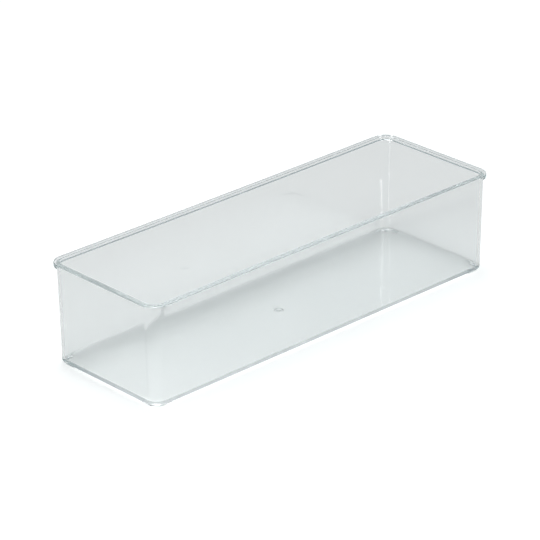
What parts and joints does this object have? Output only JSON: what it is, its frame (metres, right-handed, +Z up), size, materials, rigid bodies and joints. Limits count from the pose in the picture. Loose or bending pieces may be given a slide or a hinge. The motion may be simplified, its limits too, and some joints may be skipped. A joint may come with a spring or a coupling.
{
  "type": "drawer organizer tray",
  "caption": "Clear rectangular drawer organizer tray: an open-topped box with thin drafted walls, rounded corners, a flanged rim and low corner ridges underneath.",
  "frame": {"origin": "middle of the resting plane, at the underside of the four feet", "axes": "+X along the length, +Y from the front long wall to the back long wall, +Z up"},
  "size_m": [0.2286, 0.0762, 0.053],
  "materials": {
    "clear_plastic": "polished"
  },
  "bodies": {
    "root": {"floor_panel": "clear_plastic", "front_wall": "clear_plastic", "back_wall": "clear_plastic", "left_wall": "clear_plastic", "right_wall": "clear_plastic", "front_left_corner_wall": "clear_plastic", "front_right_corner_wall": "clear_plastic", "back_left_corner_wall": "clear_plastic", "back_right_corner_wall": "clear_plastic", "front_rim_rail": "clear_plastic", "back_rim_rail": "clear_plastic", "left_rim_rail": "clear_plastic", "right_rim_rail": "clear_plastic", "front_left_rim_corner": "clear_plastic", "front_right_rim_corner": "clear_plastic", "back_left_rim_corner": "clear_plastic", "back_right_rim_corner": "clear_plastic", "front_left_foot": "clear_plastic", "front_right_foot": "clear_plastic", "back_left_foot": "clear_plastic", "back_right_foot": "clear_plastic"}
  },
  "joints": []
}
